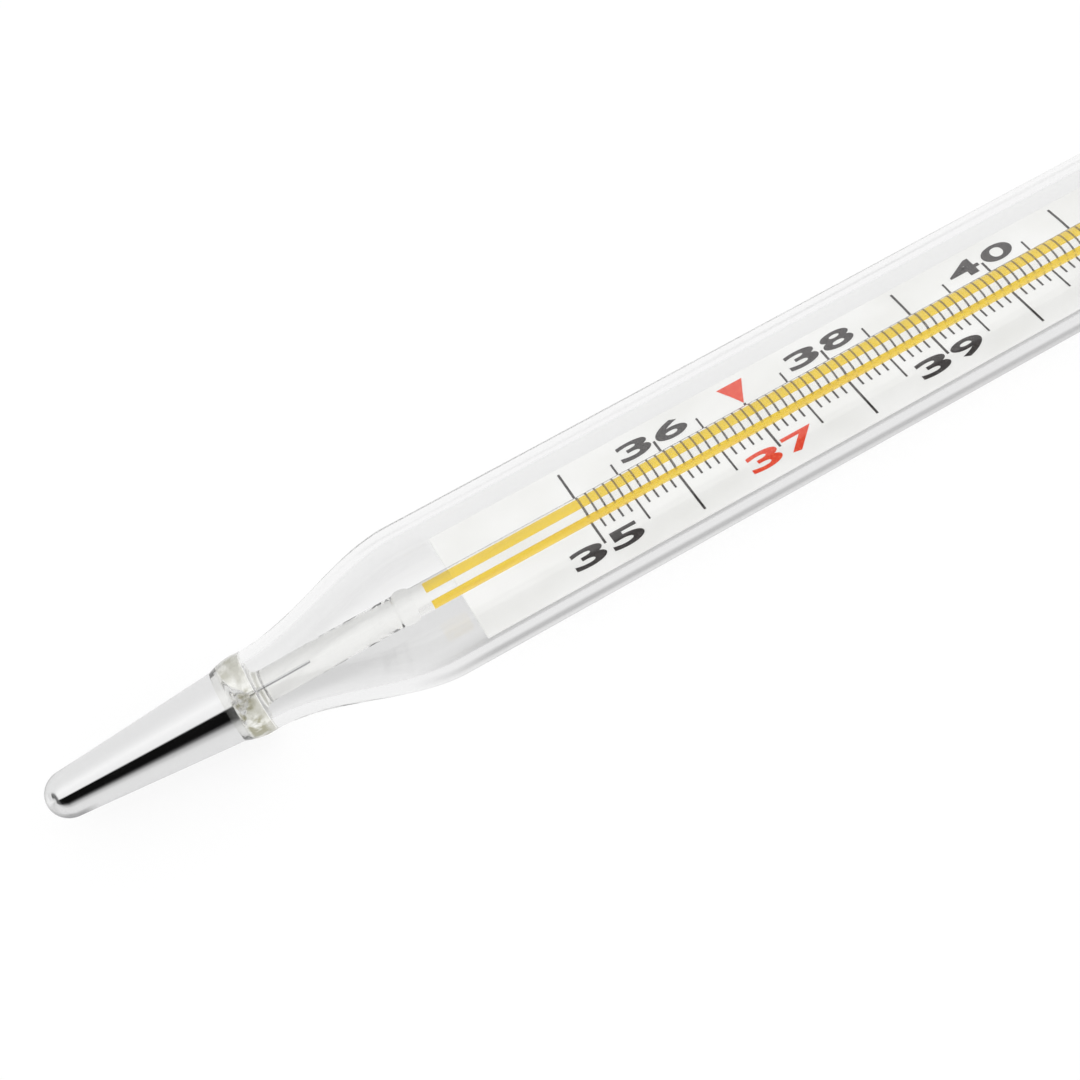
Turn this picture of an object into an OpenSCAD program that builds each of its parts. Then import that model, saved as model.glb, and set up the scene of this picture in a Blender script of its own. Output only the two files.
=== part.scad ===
// Enclosed-scale mercury fever thermometer, lying on its flat back with the scale up.
// X runs along the stem from the bulb to the sealed end, Y across it and Z up.
// The origin is the middle of the whole object, on the surface that it lies on.
// A station is a distance along the stem from the tip of the bulb.

/* [Scale] */
// Lowest temperature on the scale, in degrees Celsius
scale_low = 35; // [34:1:36]
// Highest temperature on the scale, in degrees Celsius
scale_high = 42; // [41:1:43]
// Temperature that the red arrow points at
fever_degree = 37; // [36:1:38]
// Length of one degree along the stem
degree_pitch = 6.5; // [6:0.1:6.6]
// Reach of a degree line on its side without a numeral
degree_line_reach = 3.85; // [3:0.05:4]
// Reach of a half degree line to either side
half_line_reach = 2.5; // [2:0.1:2.6]
// Reach of a tenth line to either side
tenth_line_reach = 1.4; // [1:0.1:1.8]
// Width of a degree line
degree_line_w = 0.16; // [0.1:0.01:0.2]
// Width of a half degree line or a tenth line
tenth_line_w = 0.13; // [0.08:0.01:0.2]
// Width of the red arrow at its base
arrow_w = 1.95; // [1:0.05:2.5]
// Length of the red arrow
arrow_l = 1.9; // [1:0.05:1.95]
// Distance of the arrow's tip from the middle of the scale
arrow_tip = 1.8; // [1.6:0.1:2.2]

/* [Sheath] */
// Length of the whole thermometer
overall_l = 112; // [111:1:118]
// Width of the flat-oval stem
sheath_w = 11.3; // [11.2:0.1:12.2]
// Thickness of the flat-oval stem before its back is flattened
sheath_h = 6.9; // [6.8:0.1:7.5]
// Wall of the stem at its narrow edges
side_wall = 0.9; // [0.7:0.05:0.95]
// Wall of the stem at its broad faces
flat_wall = 0.65; // [0.5:0.05:0.75]
// How square the oval is, where 2 is an ellipse
sheath_squareness = 2.3; // [2.2:0.1:2.6]
// Depth of glass lost where the back is flat
back_flat_depth = 0.15; // [0.1:0.01:0.25]
// Wall of the stem where it is drawn down to the neck
neck_wall = 0.7; // [0.5:0.05:0.75]
// Length of the shoulder, from round neck to full oval
shoulder_l = 11.7; // [10:0.1:13]
// Length of the rounded, flame-sealed end
dome_l = 6.8; // [6:0.1:7.5]
// Glass at the very tip of the sealed end
dome_wall = 2.2; // [1.5:0.1:3]

/* [Bulb and neck] */
// Length of the bulb, from its tip to the neck seal
bulb_l = 12; // [10:0.1:13]
// Diameter of the bulb at the neck seal
bulb_d = 4.7; // [4.4:0.1:4.9]
// Diameter of the rounded tip of the bulb
bulb_tip_d = 3; // [2.6:0.1:3.6]
// Wall of the bulb
bulb_wall = 0.32; // [0.26:0.02:0.4]
// Glass at the tip of the bulb
bulb_tip_wall = 0.35; // [0.3:0.05:0.8]
// Length of the neck seal
neck_l = 2; // [1.9:0.1:3]
// Diameter of the neck, where the stem begins
neck_d = 5.3; // [5.1:0.05:5.5]
// How far the bead of the neck seal bulges
neck_bead = 0.14; // [0.08:0.02:0.2]

/* [Capillary] */
// Diameter of the round lower capillary, and width of the flat-oval one beside the scale
capillary_d = 2.1; // [2.06:0.02:2.2]
// Thickness of the flat-oval capillary
capillary_t = 1.4; // [1.3:0.05:1.5]
// Diameter of the bore, drawn as wide as the glass makes it look
bore_d = 0.44; // [0.4:0.02:0.5]
// How far the foot of the capillary flares where it is fused to the neck
foot_flare = 0.7; // [0.4:0.05:0.75]
// Length of the clear lower capillary, foot included
lower_capillary_l = 10.9; // [9:0.1:11]
// Diameter of the weld between the two capillaries
weld_d = 2.4; // [2.3:0.05:2.6]
// Length of the weld
weld_l = 1.1; // [0.8:0.1:1.4]
// Diameter of the expansion chamber at the top of the bore
chamber_d = 0.64; // [0.54:0.02:0.64]
// Length of the expansion chamber
chamber_l = 3.4; // [2.5:0.1:4.5]
// Clear glass between the weld and the stripes
stripe_lead = 1; // [0.5:0.1:2]
// Width of a yellow stripe
stripe_w = 0.48; // [0.4:0.02:0.5]
// Thickness of a yellow stripe
stripe_t = 0.1; // [0.06:0.01:0.1]
// Distance of a stripe's middle from the middle of the rod, across the stem
stripe_offset = 0.51; // [0.48:0.01:0.52]
// Depth of the stripes behind the middle of the rod
stripe_depth = 0.41; // [0.35:0.01:0.41]

/* [Scale plate] */
// Width of the white plate
plate_w = 8.7; // [8:0.05:8.7]
// Thickness of the white plate
plate_t = 0.4; // [0.3:0.02:0.4]
// Gap between the end of the shoulder and the plate
plate_setback = 2.1; // [1:0.1:3]
// Plain plate before the lowest mark
plate_lead = 9.4; // [8:0.1:10]
// Plain plate after the highest mark
plate_tail = 16.5; // [14:0.5:16.5]
// Diameter of the glass rod that stops the plate at its upper end
stop_d = 1.6; // [1.2:0.1:1.8]
// Length of the glass rod that stops the plate
stop_l = 8.5; // [7:0.1:8.5]

/* [Mercury] */
// Station of the top of the thread when it is shaken down
shaken_down = 17.7; // [17.5:0.1:20]
// Length of the top of the thread, which moves as one piece
meniscus_l = 2; // [1.5:0.1:2]

/* [Hidden] */

$fn = 48;
// Clearance between pieces that are fused or filled in the real object
gap = 0.02;
// Extra length that carries a cut through a face
past = 1;

// Stations along the stem
neck_start = bulb_l;
neck_end = neck_start + neck_l;
shoulder_end = neck_end + shoulder_l;
weld_end = neck_end + lower_capillary_l;
plate_start = shoulder_end + plate_setback;
lowest_mark = plate_start + plate_lead;
highest_mark = lowest_mark + (scale_high - scale_low) * degree_pitch;
plate_end = highest_mark + plate_tail;
capillary_end = plate_end - 4;
chamber_start = highest_mark + 4;
dome_start = overall_l - dome_l;

// Heights, the second one counted from the axis of the stem
axis_z = sheath_h / 2 - back_flat_depth;
plate_top = -capillary_t / 2 - gap;
ink_t = 0.02;

// Radii
rod_r = capillary_d / 2;
bore_r = bore_d / 2;

// Room inside the bulb: where its wall turns in, and the mouth that it closes to
cavity_turn = bulb_l - 0.5;
mouth_r = 0.7;
funnel_l = 1.2;

// Glass pin: its thick shaft, and its point that nearly closes the bore
pin_r = 0.25;
pin_point_r = 0.12;
pin_start = bulb_tip_wall + 0.05;
pin_shaft_end = neck_start - 0.5;
pin_point_start = neck_start + funnel_l;
pin_end = pin_point_start + 0.6;

// Loft of the sheath, whose rings are [station, half width, half height, squareness]
sheath_sides = 48;
shoulder_rings = 14;
dome_rings = 9;
dome_tip = 0.03;

function smooth(t) = t * t * (3 - 2 * t);
function mix(a, b, t) = a + (b - a) * t;

// Half width and half height of the stem, inset by the walls at its edges and its faces
function stem_size(walls) = [sheath_w / 2 - walls[0], sheath_h / 2 - walls[1]];

function shoulder_ring(t, foot_r, size) = [
    mix(neck_end, shoulder_end, t),
    mix(foot_r, size[0], smooth(t)),
    mix(foot_r, size[1], smooth(t)),
    mix(2, sheath_squareness, smooth(t))
];

function dome_ring(turn, length, size) = [
    dome_start + length * sin(turn),
    size[0] * max(cos(turn), dome_tip),
    size[1] * max(cos(turn), dome_tip),
    sheath_squareness
];

function sheath_rings(foot_wall, walls, length) = concat(
    [for (i = [0 : shoulder_rings]) shoulder_ring(i / shoulder_rings, neck_d / 2 - foot_wall, stem_size(walls))],
    [for (i = [0 : dome_rings]) dome_ring(90 * i / dome_rings, length, stem_size(walls))]
);

// A point on the oval of a ring
function on_oval(ring, turn) = [
    ring[0],
    ring[1] * sign(cos(turn)) * pow(abs(cos(turn)), 2 / ring[3]),
    ring[2] * sign(sin(turn)) * pow(abs(sin(turn)), 2 / ring[3])
];

// Radius of the arc that rises by a height over a chord
function arc_r(chord, rise) = (chord * chord / 4 + rise * rise) / (2 * rise);

// Skin through the rings, with a flat face on the first and the last
module loft(rings, sides) {
    last = len(rings) - 1;
    polyhedron(
        [for (ring = rings, k = [0 : sides - 1]) on_oval(ring, 360 * k / sides)],
        concat(
            [[for (k = [0 : sides - 1]) k]],
            [for (i = [0 : last - 1], k = [0 : sides - 1]) [
                i * sides + k,
                (i + 1) * sides + k,
                (i + 1) * sides + (k + 1) % sides,
                i * sides + (k + 1) % sides
            ]],
            [[for (k = [sides - 1 : -1 : 0]) last * sides + k]]
        ),
        convexity = 4
    );
}

// Moves the tip of the bulb from the origin to its place on the stem's axis
module on_stem() {
    translate([-overall_l / 2, 0, axis_z]) children();
}

// Spins a half profile, with its radius on X and its station on Y, round the stem's axis
module spin_on_stem() {
    on_stem() rotate([0, 90, 0]) rotate_extrude() children();
}

// Draws a section, with the width on X and the height on Y, out along the stem
module draw_on_stem(from, to) {
    on_stem() translate([from, 0, 0]) rotate([90, 0, 90]) linear_extrude(to - from) children();
}

// Half profile of a part of an arc that bulges out to a radius between two stations
module bulge_profile(from, to, rise, top_r) {
    r = arc_r(to - from, rise);
    intersection() {
        translate([top_r - r, (from + to) / 2]) circle(r);
        translate([0, from]) square([top_r, to - from]);
    }
}

// Half profile of the bulb, inset by a wall and starting that much later at its tip
module bulb_profile(wall, tip_wall) {
    tip_r = bulb_tip_d / 2 - wall;
    end_r = bulb_d / 2 - wall;
    tip_y = tip_wall + tip_r;
    lean = atan((end_r - tip_r) / (bulb_l - tip_y));
    join_y = tip_y - tip_r * sin(lean);
    intersection() {
        translate([0, tip_y]) circle(tip_r);
        square([tip_r, tip_y]);
    }
    polygon([[0, join_y], [tip_r * cos(lean), join_y], [end_r, bulb_l], [0, bulb_l]]);
}

// Half profile of the room inside the bulb, which closes to a mouth just before the neck
module cavity_profile(inset) {
    turn_r = bulb_d / 2 - bulb_wall - inset - 0.1;
    intersection() {
        bulb_profile(bulb_wall + inset, bulb_tip_wall + inset);
        square([bulb_d, cavity_turn]);
    }
    polygon([
        [0, cavity_turn - gap],
        [turn_r, cavity_turn - gap],
        [mouth_r - inset, bulb_l],
        [0, bulb_l]
    ]);
}

// Half profile of the funnel that leads from the mouth of the bulb into the bore
module funnel_profile(inset, end) {
    polygon([
        [0, neck_start],
        [mouth_r - inset, neck_start],
        [bore_r - inset, neck_start + funnel_l],
        [bore_r - inset, end],
        [0, end]
    ]);
}

// Half profile of the glass pin, or of the room round it
module pin_profile(start, room) {
    polygon([
        [0, start],
        [pin_r + room, start],
        [pin_r + room, pin_shaft_end],
        [pin_point_r + room, pin_point_start],
        [pin_point_r + room, pin_end + room],
        [0, pin_end + room]
    ]);
}

// Flat-oval glass sheath, drawn down to a round neck and sealed at its upper end
module glass_sheath() {
    color([0.86, 0.9, 0.9, 0.35]) difference() {
        on_stem() loft(sheath_rings(0, [0, 0], dome_l), sheath_sides);
        on_stem() sheath_room();
        translate([-overall_l, -sheath_w, -sheath_h]) cube([2 * overall_l, 2 * sheath_w, sheath_h]);
    }
}

// Room inside the sheath, open at the neck
module sheath_room() {
    room = sheath_rings(neck_wall, [side_wall, flat_wall], dome_l - dome_wall);
    mouth = [neck_end - past, room[0][1], room[0][2], room[0][3]];
    loft(concat([mouth], room), sheath_sides);
}

// Solid glass where the bulb, the capillary and the sheath are fused together
module neck_seal() {
    top_r = (bulb_d + neck_d) / 4 + neck_bead;
    color([0.72, 0.74, 0.62, 0.5]) spin_on_stem() difference() {
        union() {
            bulge_profile(neck_start, neck_end, neck_bead, top_r);
            polygon([[0, neck_start], [bulb_d / 2, neck_start], [neck_d / 2, neck_end], [0, neck_end]]);
        }
        funnel_profile(0, neck_end);
    }
}

// Thin glass of the bulb, which tapers to its rounded tip
module bulb_glass() {
    color([0.86, 0.9, 0.9, 0.35]) spin_on_stem() difference() {
        bulb_profile(0, 0);
        cavity_profile(0);
    }
}

// Mercury that fills the bulb and the funnel, round the glass pin
module bulb_mercury() {
    color([0.72, 0.73, 0.75]) spin_on_stem() difference() {
        union() {
            cavity_profile(gap);
            funnel_profile(gap, neck_end - gap);
        }
        pin_profile(0, gap);
    }
}

// Glass pin that lets the mercury rise and keeps it from falling back
module constriction_pin() {
    color([0.8, 0.86, 0.86, 0.5]) spin_on_stem() pin_profile(pin_start, 0);
}

// Clear capillary through the shoulder, with its flared foot and the weld at its top
module lower_capillary() {
    foot_r = rod_r + foot_flare;
    color([0.93, 0.94, 0.94, 0.6]) spin_on_stem() difference() {
        union() {
            translate([0, neck_end]) square([rod_r, lower_capillary_l]);
            difference() {
                translate([0, neck_end]) square([foot_r, foot_flare]);
                translate([foot_r, neck_end + foot_flare]) circle(foot_flare);
            }
            bulge_profile(weld_end - weld_l, weld_end, weld_d / 2 - rod_r, weld_d / 2);
        }
        translate([0, neck_end]) square([bore_r, lower_capillary_l]);
    }
}

// Section of the flat-oval capillary
module oval_section() {
    polygon([for (k = [0 : $fn - 1]) [rod_r * cos(360 * k / $fn), capillary_t / 2 * sin(360 * k / $fn)]]);
}

// Draws out a stripe at its depth behind the bore, on one side of it, or the room that holds it
module stripe_bar(side, room, end) {
    draw_on_stem(weld_end + stripe_lead - room, end)
        translate([side * stripe_offset, -stripe_depth])
            square([stripe_w + 2 * room, stripe_t + 2 * room], center = true);
}

// Flat-oval capillary beside the scale, with its stripes' channels, its bore and its chamber
module capillary_tube() {
    color([0.93, 0.94, 0.94, 0.6]) difference() {
        draw_on_stem(weld_end, capillary_end) oval_section();
        for (side = [-1, 1]) stripe_bar(side, gap / 2, capillary_end + past);
        spin_on_stem() chamber_profile();
    }
}

// Half profile of the bore and of the pear-shaped chamber at its top
module chamber_profile() {
    chamber_r = chamber_d / 2;
    round_y = chamber_start + chamber_l - chamber_r;
    polygon([
        [0, weld_end - past],
        [bore_r, weld_end - past],
        [bore_r, chamber_start],
        [chamber_r, chamber_start + chamber_l / 2],
        [chamber_r, round_y],
        [0, round_y]
    ]);
    intersection() {
        translate([0, round_y]) circle(chamber_r);
        translate([0, round_y]) square(chamber_r);
    }
}

// Stripe of yellow glass behind the bore, which makes the thread of mercury easy to find
module yellow_stripe(side) {
    color([0.92, 0.78, 0.1]) stripe_bar(side, 0, capillary_end);
}

module yellow_stripe_left() {
    yellow_stripe(1);
}

module yellow_stripe_right() {
    yellow_stripe(-1);
}

// White plate that carries the scale and backs the capillary
module scale_plate() {
    color([0.96, 0.96, 0.95]) on_stem() translate([plate_start, -plate_w / 2, plate_top - plate_t])
        cube([plate_end - plate_start, plate_w, plate_t]);
}

// One printed line across the plate, from one reach to another
module scale_line(station, width, from, to) {
    on_stem() translate([station - width / 2, from, plate_top]) cube([width, to - from, ink_t]);
}

// Degree lines: long on the side without a numeral, which alternates along the scale
module degree_lines() {
    color([0.15, 0.14, 0.14]) for (degree = [scale_low : scale_high]) {
        plain_side = (degree - scale_low) % 2 == 0 ? 1 : -1;
        reach = degree == fever_degree ? arrow_tip - 2 * gap : degree_line_reach;
        ends = [plain_side * reach, -plain_side * half_line_reach];
        scale_line(lowest_mark + (degree - scale_low) * degree_pitch, degree_line_w, min(ends), max(ends));
    }
}

// Lines half way between the degrees
module half_degree_lines() {
    color([0.15, 0.14, 0.14]) for (step = [0 : scale_high - scale_low - 1])
        scale_line(lowest_mark + (step + 0.5) * degree_pitch, tenth_line_w, -half_line_reach, half_line_reach);
}

// All other tenths of a degree
module tenth_lines() {
    color([0.15, 0.14, 0.14]) for (tenth = [0 : 10 * (scale_high - scale_low)])
        if (tenth % 5 != 0)
            scale_line(lowest_mark + tenth * degree_pitch / 10, tenth_line_w, -tenth_line_reach, tenth_line_reach);
}

// Red arrow on the plain side of the line for normal body heat
module fever_arrow() {
    steps = fever_degree - scale_low;
    side = steps % 2 == 0 ? 1 : -1;
    tip = side * arrow_tip;
    base = side * (arrow_tip + arrow_l);
    color([0.9, 0.25, 0.15]) on_stem() translate([lowest_mark + steps * degree_pitch, 0, plate_top])
        linear_extrude(ink_t) polygon([[0, tip], [arrow_w / 2, base], [-arrow_w / 2, base]]);
}

// Glass rod across the stem that keeps the plate from sliding towards the sealed end
module plate_stop() {
    end_r = stop_d / 2;
    color([0.86, 0.9, 0.9, 0.5]) on_stem() translate([plate_end + gap + end_r, 0, plate_top - plate_t / 2])
        rotate([90, 0, 0]) rotate_extrude() {
            translate([0, -stop_l / 2 + end_r]) square([end_r, stop_l - stop_d]);
            for (end = [-1, 1]) intersection() {
                translate([0, end * (stop_l / 2 - end_r)]) circle(end_r);
                translate([0, -stop_l / 2]) square([end_r, stop_l]);
            }
        }
}

// Thread of mercury between the neck and its moving top
module mercury_thread() {
    color([0.72, 0.73, 0.75]) spin_on_stem() translate([0, neck_end + gap])
        square([bore_r - gap, shaken_down - meniscus_l - neck_end - 2 * gap]);
}

// Top of the thread, with its rounded meniscus, which shows the temperature
module mercury_meniscus() {
    r = bore_r - gap;
    color([0.6, 0.61, 0.64]) spin_on_stem() translate([0, shaken_down - meniscus_l]) {
        square([r, meniscus_l - r]);
        intersection() {
            translate([0, meniscus_l - r]) circle(r);
            square([r, meniscus_l]);
        }
    }
}

glass_sheath();
neck_seal();
bulb_glass();
bulb_mercury();
constriction_pin();
lower_capillary();
capillary_tube();
yellow_stripe_left();
yellow_stripe_right();
scale_plate();
degree_lines();
half_degree_lines();
tenth_lines();
fever_arrow();
plate_stop();
mercury_thread();
mercury_meniscus();
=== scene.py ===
"""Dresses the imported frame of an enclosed-scale mercury fever thermometer: its glass, mercury, print and a studio."""

import math

import bmesh
import bpy
from bpy.props import FloatProperty, FloatVectorProperty, IntProperty, PointerProperty
from mathutils import Euler, Matrix, Vector


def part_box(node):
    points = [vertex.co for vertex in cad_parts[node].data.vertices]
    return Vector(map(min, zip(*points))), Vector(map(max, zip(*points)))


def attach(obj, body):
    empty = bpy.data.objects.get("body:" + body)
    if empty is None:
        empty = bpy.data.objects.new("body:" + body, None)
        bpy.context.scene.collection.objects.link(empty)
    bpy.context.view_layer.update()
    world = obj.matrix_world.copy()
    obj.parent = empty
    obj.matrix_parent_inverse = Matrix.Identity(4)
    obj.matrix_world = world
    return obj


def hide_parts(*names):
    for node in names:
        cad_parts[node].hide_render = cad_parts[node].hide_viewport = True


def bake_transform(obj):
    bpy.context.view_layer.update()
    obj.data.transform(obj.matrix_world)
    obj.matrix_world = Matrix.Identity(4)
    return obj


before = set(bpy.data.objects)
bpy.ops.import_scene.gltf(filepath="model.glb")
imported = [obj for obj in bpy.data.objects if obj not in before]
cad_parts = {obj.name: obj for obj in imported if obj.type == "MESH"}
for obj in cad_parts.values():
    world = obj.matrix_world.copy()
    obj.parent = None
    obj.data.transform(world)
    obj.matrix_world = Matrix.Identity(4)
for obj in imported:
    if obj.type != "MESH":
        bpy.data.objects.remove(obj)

bl_info = {
    "name": "Fever Thermometer",
    "version": (1, 0, 0),
    "blender": (4, 5, 0),
    "location": "View3D > Sidebar > Thermometer",
    "description": "Builds the glass, mercury, scale and studio of an enclosed-scale fever thermometer",
    "category": "Object",
}

MM = 0.001
STATIC = "thermometer"
MOVING = "mercury_top"

# The frame gives every place: the stem's axis, where the pieces begin and end, and how wide they are.
BULB_LOW, BULB_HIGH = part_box("bulb_glass")
NECK_LOW, NECK_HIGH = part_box("neck_seal")
SHEATH_LOW, SHEATH_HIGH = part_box("glass_sheath")
LOWER_LOW, LOWER_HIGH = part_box("lower_capillary")
TUBE_LOW, TUBE_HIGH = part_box("capillary_tube")
PLATE_LOW, PLATE_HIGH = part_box("scale_plate")
STOP_LOW, STOP_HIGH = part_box("plate_stop")
THREAD_LOW, THREAD_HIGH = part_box("mercury_thread")
TOP_LOW, TOP_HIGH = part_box("mercury_meniscus")
LINES_LOW, LINES_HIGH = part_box("degree_lines")
AXIS_Z = (BULB_LOW.z + BULB_HIGH.z) / 2
TIP_X = BULB_LOW.x

# Vertices closer than the first are one, and a face this near to a station lies on it.
MERGE = 0.0005 * MM
NEAR = 0.001 * MM
# Points along the tip of the bulb, along a small round edge and along a shallow bulge, and sides of the stop rod.
TIP_POINTS = 24
ROUND_POINTS = 12
BULGE_POINTS = 10
ROD_SIDES = 48
# Soda-lime and thermometric glass bend light about alike.
GLASS_IOR = 1.517

# Painted reflection of the sky, which only mirrors and glass show and which lights nothing: how far up from the horizon
# on the camera's side, in degrees, and its level. The dark band from 16 to 50 degrees is a painted dark front.
SKY_PAINTED_REFLECTION = (
    (0, 0.42), (7, 0.15), (16, 0.006), (50, 0.006), (55, 1.08), (75, 1.15), (90, 1.22), (120, 1.05), (140, 1.0),
    (180, 1.0))
# Painted reflection of the far sides, which only mirrors and glass show: from the bulb's side, -1, to the sealed end's,
# 1, and its level. Straight along the stem it is light, and the dim ring round that paints the dark hook in the mercury
# at the tip.
SIDES_PAINTED_REFLECTION = ((-1, 0.9), (-0.99, 0.75), (-0.978, 0.15), (-0.9, 0.12), (-0.78, 0.8), (0.8, 1.0), (1, 1.0))
# How far to a side, as the X of a direction, the sky starts and ends giving way to that.
SIDES_START, SIDES_END = 0.84, 0.94
# Painted shade and light on the floor, which only mirrors and glass show: the distance across from the stem's axis in
# millimetres, and its level.
FLOOR_PAINTED_IN_GLASS = (
    (-60, 0.55), (-20, 0.72), (-10, 0.95), (-4, 0.97), (-1.4, 0.95), (-0.5, 0.84), (0.8, 0.82), (1.5, 1.0), (2.2, 1.12),
    (3.2, 1.08), (4.2, 1.0), (60, 1.0))
# Painted shade on the floor along the near edge of the stem, which only mirrors and glass show, by the distance across,
# and where it starts along the stem.
EDGE_PAINTED_SHADE = ((-9, 1), (-6.6, 0.92), (-5.8, 0.55), (-4.8, 0.5), (-3.6, 0.85), (-2.8, 1))
EDGE_PAINTED_SHADE_SPAN = ((-34, 0), (-28, 1))
# Painted shade on the floor under the tip of the bulb, which only mirrors and glass show, by the distance along the
# stem, and how far across it reaches.
TIP_PAINTED_SHADE = ((-58, 1), (-56.5, 0.5), (-55, 0.5), (-54, 1))
TIP_PAINTED_SHADE_SPAN = ((-3, 0), (-1.5, 1), (3, 1), (4.5, 0))
# The soft box overhead: its edge on the camera's side and its far edge, each from dark to lit, in degrees.
BOX_NEAR = (53, 56)
BOX_FAR = (85, 95)
# How much each face of the yellow glass lets through, and how cloudy the fused neck is, by the distance across: the
# neck is dense on the near side, almost clear in a band just above that, and less dense on the far side.
STRIPE_CLEAR = ((-0.3, 0.7), (0.3, 0.88))
NECK_CLOUD = ((-2.7, 1), (-1.15, 1), (-0.9, 0.05), (-0.3, 0.05), (0.3, 0.6), (2.7, 0.7))
# How that cloud goes on along the neck: the first part is clear, over the mercury.
NECK_SPAN = ((-43.55, 0), (-43.3, 1), (-42.5, 1), (-42.1, 0.4))

# The floor lies just below the stem. Its white is a little short of full, as paint is.
FLOOR_GAP = 0.02 * MM
FLOOR_WHITE = 0.98
# The lens: the sensor's width in millimetres, and the nearest and farthest distance that it sees, in metres.
SENSOR = 36
SIGHT = (1 * MM, 10)
# Light passes many walls of glass before it reaches the plate.
ALL_BOUNCES = 96
GLASS_BOUNCES = 64


def linear(code):
    """Turns an sRGB hex value into the linear colour that a shader takes."""
    parts = [int(code[i:i + 2], 16) / 255 for i in (0, 2, 4)]
    return tuple(c / 12.92 if c <= 0.04045 else ((c + 0.055) / 1.055) ** 2.4 for c in parts)


def length(label, description, millimetres):
    """A size that the user can change, given in millimetres."""
    return FloatProperty(name=label, description=description, default=millimetres * MM, unit="LENGTH", precision=6)


def tint(label, description, code):
    """A colour that the user can change, given as an sRGB hex value."""
    return FloatVectorProperty(
        name=label, description=description, subtype="COLOR", min=0, max=1, default=linear(code))


class THERMOMETER_PG_glass(bpy.types.PropertyGroup):
    """Sizes of the glass that scene pieces share with the frame."""
    wall: length("Stem wall", "Wall of the flat-oval stem at its narrow edges", 0.9)
    flat_wall: length("Flat wall", "Wall of the flat-oval stem at its broad faces", 0.65)
    neck_wall: length("Neck wall", "Wall of the stem where it is drawn down to the neck", 0.7)
    shoulder: length("Shoulder", "Length from the round neck to the full oval", 11.7)
    dome: length("Sealed end", "Length of the rounded end", 6.8)
    dome_wall: length("Tip glass", "Glass at the tip of the sealed end", 2.2)
    squareness: FloatProperty(
        name="Squareness", description="2 is an ellipse, and more is squarer", default=2.3, min=2, max=4)
    full_height: length("Oval height", "Height of the oval before its back is flattened", 6.9)
    bulb_wall: length("Bulb wall", "Thin wall of the bulb", 0.32)
    bulb_tip_wall: length("Bulb tip", "Glass at the tip of the bulb", 0.35)
    bulb_tip_diameter: length("Bulb tip diameter", "Diameter of the rounded tip of the bulb", 3.0)
    bulb_diameter: length("Bulb diameter", "Diameter of the bulb at the neck", 4.7)
    bead: length("Neck bead", "How far the fused neck bulges", 0.14)
    foot_flare: length("Foot flare", "Flare of the capillary where it is fused to the neck", 0.7)
    weld_length: length("Weld", "Length of the weld between the two capillaries", 1.1)
    weld_diameter: length("Weld diameter", "Diameter of that weld", 2.4)
    stripe_extra: length("Broader stripe", "How much broader the near stripe is on each side", 0.055)
    stripe_edge: length("Stripe edge", "Rounding of the edges of a stripe", 0.015)
    plate_bevel: length("Plate edge", "Ground edge of the white plate", 0.06)
    sides: IntProperty(name="Sides", description="Sides of every round or oval ring", default=128, min=24, max=256)
    rings: IntProperty(name="Rings", description="Rings along the shoulder and the dome", default=30, min=8, max=80)


class THERMOMETER_PG_mercury(bpy.types.PropertyGroup):
    """Sizes of the mercury in the bulb and the bore."""
    mouth_diameter: length("Mouth", "Diameter where the room closes to the funnel", 1.36)
    thread_diameter: length("Thread", "Diameter of the thread of mercury", 0.14)
    reach: length("Reach", "How far the bulb's full room reaches into the neck", 0.55)
    closing: length("Closing", "Length in which that room closes to its mouth", 0.35)
    funnel: length("Funnel", "Length of the funnel from the mouth into the bore", 0.6)
    wetting: length("Wetting", "How far mercury reaches into the glass that holds it, so that no air shows", 0.01)


class THERMOMETER_PG_scale(bpy.types.PropertyGroup):
    """Sizes of the numerals on the plate."""
    pitch: length("Degree pitch", "Distance from one degree line to the next", 6.5)
    digit_height: length("Digit height", "Height of a digit", 1.45)
    digit_width: length("Digit width", "Width of a digit", 2.3)
    one_width: length("Width of a 1", "Width of the narrow digit 1", 0.9)
    digit_spread: length("Digit spread", "Distance of a digit's middle from its degree line", 1.37)
    digit_offset: length("Digit offset", "Distance of a digit's middle from the axis", 2.76)
    digit_weight: FloatProperty(
        name="Weight", description="How much bolder than the plain font", default=0.025, min=0, max=0.1)
    ink: length("Ink", "Thickness of the fired ink", 0.02)
    lowest: IntProperty(name="Lowest degree", description="First degree on the scale", default=35)
    highest: IntProperty(name="Highest degree", description="Last degree on the scale", default=42)
    fever: IntProperty(name="Red degree", description="Degree whose numeral is red", default=37)


class THERMOMETER_PG_colours(bpy.types.PropertyGroup):
    """Colours of the finishes."""
    stem_glass: tint("Stem glass", "Clear drawn glass, very slightly grey", "F5F5F5")
    bulb_glass: tint("Bulb glass", "Thermometric glass, almost without colour", "FCFCFA")
    neck_clear: tint("Neck, clear", "Clear part of the fused neck", "F6F6F2")
    neck_olive: tint("Neck, olive", "Olive streaks in the fused neck", "8F8C70")
    rod_glass: tint("Capillary glass", "Clear capillary glass", "FAFAF8")
    yellow: tint("Yellow", "Yellow enamel glass", "FBD900")
    yellow_deep: tint("Deep yellow", "Darker streaks of the yellow enamel glass", "EDBD00")
    plate: tint("Plate", "Opal glass of the plate", "F7F7F5")
    plate_cloud: tint("Plate, cloud", "Faint clouds in the opal glass", "F0F0ED")
    black_ink: tint("Black ink", "Fired black ink", "2E2A2A")
    black_ink_thin: tint("Black ink, thin", "Where the black ink is thin", "4A4443")
    red_ink: tint("Red ink", "Fired red ink", "E63A16")
    red_ink_thin: tint("Red ink, thin", "Where the red ink is thin", "F06036")
    mercury: tint("Mercury", "Liquid mercury", "E4E4E6")


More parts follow.
